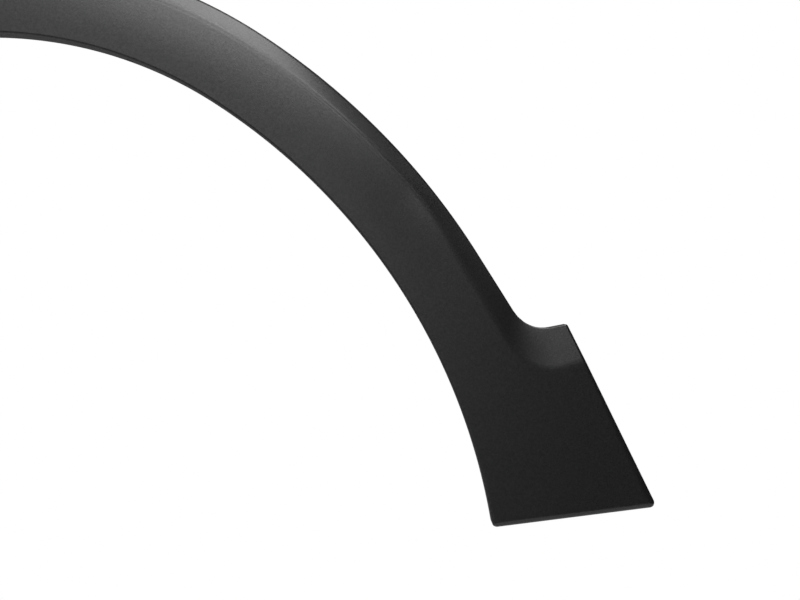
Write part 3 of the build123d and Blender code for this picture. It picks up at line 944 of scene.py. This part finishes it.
# %% Ten clips in one mesh
SOFT_EDGE, SOFT_SEGMENTS, SOFT_FROM = 0.15, 2, 50.0
clip_tubes = (
    (ring_places, ring_levels),
    (np.stack([blade_across, blade_thick], axis=-1), blade_level),
    (np.stack([-blade_thick, blade_across], axis=-1), blade_level),
)
clip_points, clip_faces, clip_start = [], [], 0
for seat, turn in SEATS:
    for local, level in clip_tubes:
        clip_faces += tube_faces(clip_start, *local.shape[:2])
        clip_points.append(in_frame(on_seat(local, seat, turn), level).reshape(-1, 3))
        clip_start += len(clip_points[-1])
clips = add_piece("nylon_clips", np.concatenate(clip_points), clip_faces, "natural_nylon")
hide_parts("retaining_clips")
soften = clips.modifiers.new("soft_edges", "BEVEL")
soften.width = SOFT_EDGE * MM
soften.segments = SOFT_SEGMENTS
soften.limit_method = "ANGLE"
soften.angle_limit = np.radians(SOFT_FROM)

# %% [markdown]
# ## Helpers for materials
# Both plastics are a Principled shader whose colour, gloss and bump follow noise on Object coordinates. The pieces
# sit at the origin in metres, so a noise scale is a number of cells per metre, and a grain keeps its size all over
# the part. An image would need a UV map for the same, and would repeat.

# %% Nodes of a material
NOISE_LOW, NOISE_HIGH = 0.3, 0.7  # range in which nearly all of a noise lies


def new_material(name):
    """An emptied node material with a Principled shader on its output; returns the tree and the shader."""
    material = bpy.data.materials[name]
    material.use_nodes = True
    tree = material.node_tree
    tree.nodes.clear()
    shader = tree.nodes.new("ShaderNodeBsdfPrincipled")
    output = tree.nodes.new("ShaderNodeOutputMaterial")
    tree.links.new(shader.outputs["BSDF"], output.inputs["Surface"])
    return tree, shader


def noise(tree, coordinates, scale, detail):
    """Noise on Object coordinates; the scale is in cells per metre."""
    node = tree.nodes.new("ShaderNodeTexNoise")
    node.inputs["Scale"].default_value = scale
    node.inputs["Detail"].default_value = detail
    tree.links.new(coordinates, node.inputs["Vector"])
    return node.outputs["Fac"]


def mapped(tree, value, low, high):
    """A noise value turned into a range: low plus its share of the noise's range times the difference."""
    node = tree.nodes.new("ShaderNodeMapRange")
    node.inputs["From Min"].default_value = NOISE_LOW
    node.inputs["From Max"].default_value = NOISE_HIGH
    node.inputs["To Min"].default_value = low
    node.inputs["To Max"].default_value = high
    tree.links.new(value, node.inputs["Value"])
    return node.outputs["Result"]


def colour_between(tree, value, dark, light):
    """A colour between two, by a noise value."""
    node = tree.nodes.new("ShaderNodeValToRGB")
    first, second = node.color_ramp.elements
    first.position, first.color = NOISE_LOW, (*dark, 1.0)
    second.position, second.color = NOISE_HIGH, (*light, 1.0)
    tree.links.new(value, node.inputs["Fac"])
    return node.outputs["Color"]


def bump(tree, height, strength, distance, normal=None):
    """A bump of a real depth in metres, on top of another one if there is one."""
    node = tree.nodes.new("ShaderNodeBump")
    node.inputs["Strength"].default_value = strength
    node.inputs["Distance"].default_value = distance
    tree.links.new(height, node.inputs["Height"])
    if normal is not None:
        tree.links.new(normal, node.inputs["Normal"])
    return node.outputs["Normal"]


print("noise is used from", NOISE_LOW, "to", NOISE_HIGH)

# %% [markdown]
# ## Grained black plastic
# The moulding is black polypropylene, coloured all through. Its surface copies a fine spark-eroded grain from the
# tool, which spreads the light: the gloss is broad and dull, and the colour hardly varies. The grain is a bump
# from two sizes of noise, pebbles of about 3 mm and grains of less than 1 mm. Between these in size are shallow
# pits that swallow some of the gloss, as gentle changes of its strength: they give the fine mottling that shows
# where the light is even.

# %% Material of the moulding
GRAIN_SCALE, PIT_SCALE, PEBBLE_SCALE, FLOW_SCALE = 1500.0, 650.0, 340.0, 14.0
GRAIN_DEPTH, PEBBLE_DEPTH = 0.00004, 0.00008
tree, plastic = new_material("grained_black_plastic")
place = tree.nodes.new("ShaderNodeTexCoord").outputs["Object"]
grain = noise(tree, place, GRAIN_SCALE, 2.0)
pebble = noise(tree, place, PEBBLE_SCALE, 1.0)
flow = noise(tree, place, FLOW_SCALE, 3.0)
pits = noise(tree, place, PIT_SCALE, 2.0)
black = colour_between(tree, flow, (0.0073, 0.0073, 0.0075), (0.0087, 0.0087, 0.0088))
relief = bump(tree, grain, 0.5, GRAIN_DEPTH, bump(tree, pebble, 0.3, PEBBLE_DEPTH))
tree.links.new(black, plastic.inputs["Base Color"])
tree.links.new(mapped(tree, grain, 0.27, 0.33), plastic.inputs["Roughness"])
tree.links.new(mapped(tree, pits, 0.43, 0.57), plastic.inputs["Specular IOR Level"])
tree.links.new(relief, plastic.inputs["Normal"])
plastic.inputs["IOR"].default_value = 1.49
print("plastic nodes", len(tree.nodes))

# %% [markdown]
# ## Natural nylon
# The clips are uncoloured nylon: milky, a little yellow, and smooth from a polished tool. Light goes a millimetre
# or so into it, so the thin barbs and the washer's edge look soft. Subsurface scattering does that. A paler colour
# alone would look like paint.

# %% Material of the clips
CLOUD_SCALE, SHEEN_SCALE, CLOUD_DEPTH = 180.0, 900.0, 0.00005
tree, nylon = new_material("natural_nylon")
place = tree.nodes.new("ShaderNodeTexCoord").outputs["Object"]
cloud = noise(tree, place, CLOUD_SCALE, 2.0)
sheen = noise(tree, place, SHEEN_SCALE, 2.0)
milk = colour_between(tree, cloud, (0.66, 0.63, 0.55), (0.74, 0.72, 0.65))
tree.links.new(milk, nylon.inputs["Base Color"])
tree.links.new(mapped(tree, sheen, 0.34, 0.46), nylon.inputs["Roughness"])
tree.links.new(bump(tree, cloud, 0.1, CLOUD_DEPTH), nylon.inputs["Normal"])
nylon.inputs["Subsurface Weight"].default_value = 0.25
nylon.inputs["Subsurface Radius"].default_value = (0.0012, 0.0010, 0.0007)
nylon.inputs["Subsurface Scale"].default_value = 1.0
print("nylon nodes", len(tree.nodes))

# %% [markdown]
# ## Camera
# The photograph looks straight at the face, from the height of the middle of the picture. The picture is 624 mm
# wide at the front of the trim, seen from 1.4 m away, and the arch runs out of it at the left and at the top.

# %% Camera
PICTURE_WIDTH, CAMERA_AWAY = 624.0, 1400.0
VIEW_ALONG, VIEW_UP = 0.32458, -0.24164  # middle of the picture, in metres
camera_data = bpy.data.cameras.new("camera")
camera_data.sensor_fit = "HORIZONTAL"
camera_data.lens = camera_data.sensor_width * CAMERA_AWAY / PICTURE_WIDTH
camera = bpy.data.objects.new("camera", camera_data)
camera.location = (VIEW_ALONG, -(STAND_OFF + CAMERA_AWAY) * MM, VIEW_UP)
camera.rotation_euler = (np.pi / 2, 0.0, 0.0)
bpy.context.collection.objects.link(camera)
bpy.context.scene.camera = camera
bpy.context.scene.view_settings.view_transform = "Standard"
print("lens", round(camera_data.lens, 2))

# %% [markdown]
# ## Floor
# The trim is shown as if it hung on a stand in a white studio, well above a sheet of pale paper on the floor. The
# sheet takes the trim's soft shadow, which falls below the picture. One square is enough for it, because the whole
# sheet lies below the picture too.

# %% Floor
FLOOR_LEVEL, FLOOR_FRONT, FLOOR_BACK, FLOOR_LEFT, FLOOR_RIGHT = -0.80, -1.0, 1.6, -1.4, 2.0
floor_mesh = bpy.data.meshes.new("floor")
floor_corners = [
    (FLOOR_LEFT, FLOOR_FRONT, FLOOR_LEVEL),
    (FLOOR_RIGHT, FLOOR_FRONT, FLOOR_LEVEL),
    (FLOOR_RIGHT, FLOOR_BACK, FLOOR_LEVEL),
    (FLOOR_LEFT, FLOOR_BACK, FLOOR_LEVEL),
]
floor_mesh.from_pydata(floor_corners, [], [(0, 1, 2, 3)])
floor = bpy.data.objects.new("floor", floor_mesh)
bpy.context.collection.objects.link(floor)
floor_mesh.materials.append(bpy.data.materials.new("pale_floor"))
_, paper = new_material("pale_floor")
paper.inputs["Base Color"].default_value = (0.82, 0.82, 0.82, 1.0)
paper.inputs["Roughness"].default_value = 0.9
print("floor at", FLOOR_LEVEL)

# %% [markdown]
# ## Surroundings
# Behind the trim hangs a white backdrop, and the rest of the studio is dim, so that the black plastic stays black.
# The world is white to the camera. To a mirrored or refracted ray that ends on the backdrop, which reaches about
# 45 degrees to each side of the line of sight, it has about an eighth of that strength, so edges that turn away
# mirror it only faintly. Every other ray meets the dim room.

# %% World
ROOM_LEVEL = 0.005
BACKDROP_IN_GLOSS = 0.12  # strength of the backdrop in a reflection
BACKDROP_REACH = 0.7  # cosine of the angle to which the backdrop reaches
WHITE = (1.0, 1.0, 1.0, 1.0)
world = bpy.data.worlds.new("studio")
bpy.context.scene.world = world
world.use_nodes = True
tree = world.node_tree
tree.nodes.clear()
backdrop, room = tree.nodes.new("ShaderNodeBackground"), tree.nodes.new("ShaderNodeBackground")
backdrop.inputs["Color"].default_value = WHITE
room.inputs["Color"].default_value = WHITE
room.inputs["Strength"].default_value = ROOM_LEVEL
ray = tree.nodes.new("ShaderNodeLightPath")
axes = tree.nodes.new("ShaderNodeSeparateXYZ")
tree.links.new(tree.nodes.new("ShaderNodeTexCoord").outputs["Generated"], axes.inputs["Vector"])


def worked(tree, operation, first, second):
    """A Math node's result for two linked values or constants."""
    node = tree.nodes.new("ShaderNodeMath")
    node.operation = operation
    for socket, value in zip(node.inputs, (first, second)):
        if isinstance(value, float):
            socket.default_value = value
        else:
            tree.links.new(value, socket)
    return node.outputs["Value"]


ends_behind = worked(tree, "GREATER_THAN", axes.outputs["Y"], BACKDROP_REACH)
bright_ray = worked(tree, "MAXIMUM", ray.outputs["Is Glossy Ray"], ray.outputs["Is Transmission Ray"])
on_backdrop = worked(tree, "MULTIPLY", bright_ray, worked(tree, "MULTIPLY", ends_behind, BACKDROP_IN_GLOSS))
white_ray = worked(tree, "MAXIMUM", ray.outputs["Is Camera Ray"], on_backdrop)
mix = tree.nodes.new("ShaderNodeMixShader")
tree.links.new(white_ray, mix.inputs["Fac"])
tree.links.new(room.outputs["Background"], mix.inputs[1])
tree.links.new(backdrop.outputs["Background"], mix.inputs[2])
tree.links.new(mix.outputs["Shader"], tree.nodes.new("ShaderNodeOutputWorld").inputs["Surface"])
print("world nodes", len(tree.nodes))

# %% [markdown]
# ## Lamps
# The photograph's light can be read off the trim. The bevel, which looks up, is bright over the crown and falls off
# quickly below 40 degrees: a wide soft box hangs over the trim and a little behind it. The face is brightest on the
# crown's right side: two boxes stand in front, one high in the middle and one higher to the right. A large dim panel
# by the camera keeps the face from going black. The last box is small and weak, and fills the gap between the two
# high ones, which would show as a dark line in the crease.

# %% Lamps
MIDDLE = np.array((0.25, 0.0, -0.2))
LAMP_AWAY = 2.6
# Degrees right of the camera and up, width and depth in metres, power in watts
LAMPS = {
    "overhead": (118.9, 68.2, 2.14, 1.12, 28.1),
    "front_high": (0.6, 35.2, 1.05, 1.36, 27.4),
    "right_high": (30.4, 64.9, 1.47, 2.20, 43.3),
    "camera_panel": (-13.2, 7.0, 1.44, 1.68, 9.8),
    "right_low": (21.5, 34.5, 0.70, 0.76, 2.1),
}


def soft_box(name, turn, rise, width, depth, power):
    """Rectangular soft box facing the middle of the trim, turned right of the camera and raised, in degrees.

    Its back points away from the trim: (sine, -cosine) of the turn times the cosine of the rise, and its sine up."""
    turn, rise = np.radians((turn, rise))
    back = np.array((np.sin(turn) * np.cos(rise), -np.cos(turn) * np.cos(rise), np.sin(rise)))
    side = np.array((np.cos(turn), np.sin(turn), 0.0))
    data = bpy.data.lights.new(name, "AREA")
    data.shape = "RECTANGLE"
    data.size, data.size_y, data.energy = width, depth, power
    lamp = bpy.data.objects.new(name, data)
    columns = np.stack([side, np.cross(back, side), back, MIDDLE + LAMP_AWAY * back], axis=1)
    lamp.matrix_world = Matrix(columns.tolist() + [[0.0, 0.0, 0.0, 1.0]])
    lamp.visible_camera = False
    bpy.context.collection.objects.link(lamp)


for lamp_name, lamp_sizes in LAMPS.items():
    soft_box(lamp_name, *lamp_sizes)
print("lamps", list(LAMPS))
